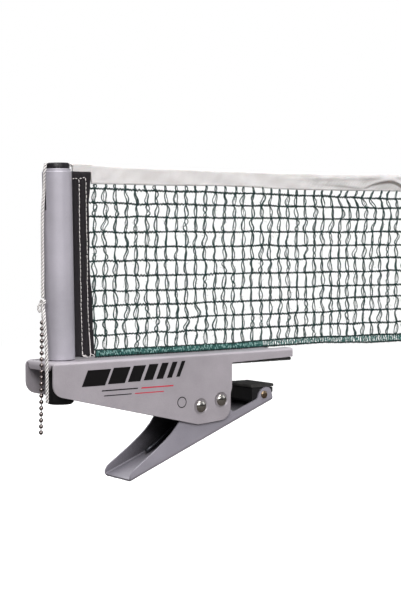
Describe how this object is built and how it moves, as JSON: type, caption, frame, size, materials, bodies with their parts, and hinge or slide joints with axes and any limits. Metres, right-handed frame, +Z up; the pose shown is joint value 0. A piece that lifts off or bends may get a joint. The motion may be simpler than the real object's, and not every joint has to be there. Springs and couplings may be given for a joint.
{
  "type": "table tennis net clamp",
  "caption": "Spring clamp that grips a table edge and carries a net post, a tensioning cord with a ball chain and the end section of a table tennis net.",
  "frame": {"origin": "on the net plane, at the clamp's throat (the table's side face) and the underside of the upper jaw pad (the playing surface)", "axes": "+X along the net from the post towards the middle of the table, +Y along the table's side edge, +Z up"},
  "size_m": [0.382, 0.046, 0.2354],
  "materials": {
    "paint": "silver-grey powder paint",
    "chrome": "bright plated steel",
    "steel": "zinc plated",
    "brass_pin": "yellow zinc plated",
    "black_plastic": "moulded",
    "rubber": "matt",
    "net_cord": "dark green knotted cord",
    "sleeve_fabric": "black woven band with white stitching",
    "tape_fabric": "white cotton tape",
    "cord": "white twisted cord"
  },
  "bodies": {
    "clamp_body": {"clamp_frame": "paint", "upper_jaw_pad": "rubber", "post_tube": "paint", "post_cap": "black_plastic", "post_foot": "black_plastic", "post_plug": "steel", "post_screw": "steel", "post_washer": "steel", "pivot_rivet": "chrome", "stop_rivet": "chrome", "pivot_bush": "steel", "stop_spacer": "steel", "torsion_spring": "steel", "net_mesh": "net_cord", "net_hem": "net_cord", "net_sleeve": "sleeve_fabric", "net_rod": "steel", "net_tape": "tape_fabric", "tension_cord": "cord"},
    "lever": {"clamp_lever": "paint", "jaw_pin": "brass_pin"},
    "jaw_shoe": {"lower_jaw_shoe": "black_plastic", "lower_jaw_pad": "rubber"},
    "chain_top": {"ball_chain_upper": "chrome"},
    "chain_mid": {"ball_chain_middle": "chrome"},
    "chain_end": {"ball_chain_lower": "chrome"}
  },
  "joints": [
    {"name": "lever_hinge", "type": "hinge", "parent": "clamp_body", "child": "lever", "pos_m": [-0.01057, 0, -0.02723], "axis": [0, 1, 0], "range_deg": [-14, 18], "stiffness_Nm_per_rad": 1.2, "springref_deg": -28.65, "deforming": ["torsion_spring"]},
    {"name": "jaw_shoe_hinge", "type": "hinge", "parent": "lever", "child": "jaw_shoe", "pos_m": [0.03363, 0, -0.02611], "axis": [0, 1, 0], "range_deg": [-4.8, 4.8]},
    {"name": "chain_swing_top", "type": "hinge", "parent": "clamp_body", "child": "chain_top", "pos_m": [-0.16059, -0.0065, 0.04008], "axis": [0, 1, 0], "range_deg": [0, 60]},
    {"name": "chain_swing_middle", "type": "hinge", "parent": "chain_top", "child": "chain_mid", "pos_m": [-0.16105, -0.0065, 0.01335], "axis": [0, 1, 0], "range_deg": [0, 30]},
    {"name": "chain_swing_end", "type": "hinge", "parent": "chain_mid", "child": "chain_end", "pos_m": [-0.16151, -0.0065, -0.01298], "axis": [0, 1, 0], "range_deg": [0, 30]}
  ]
}
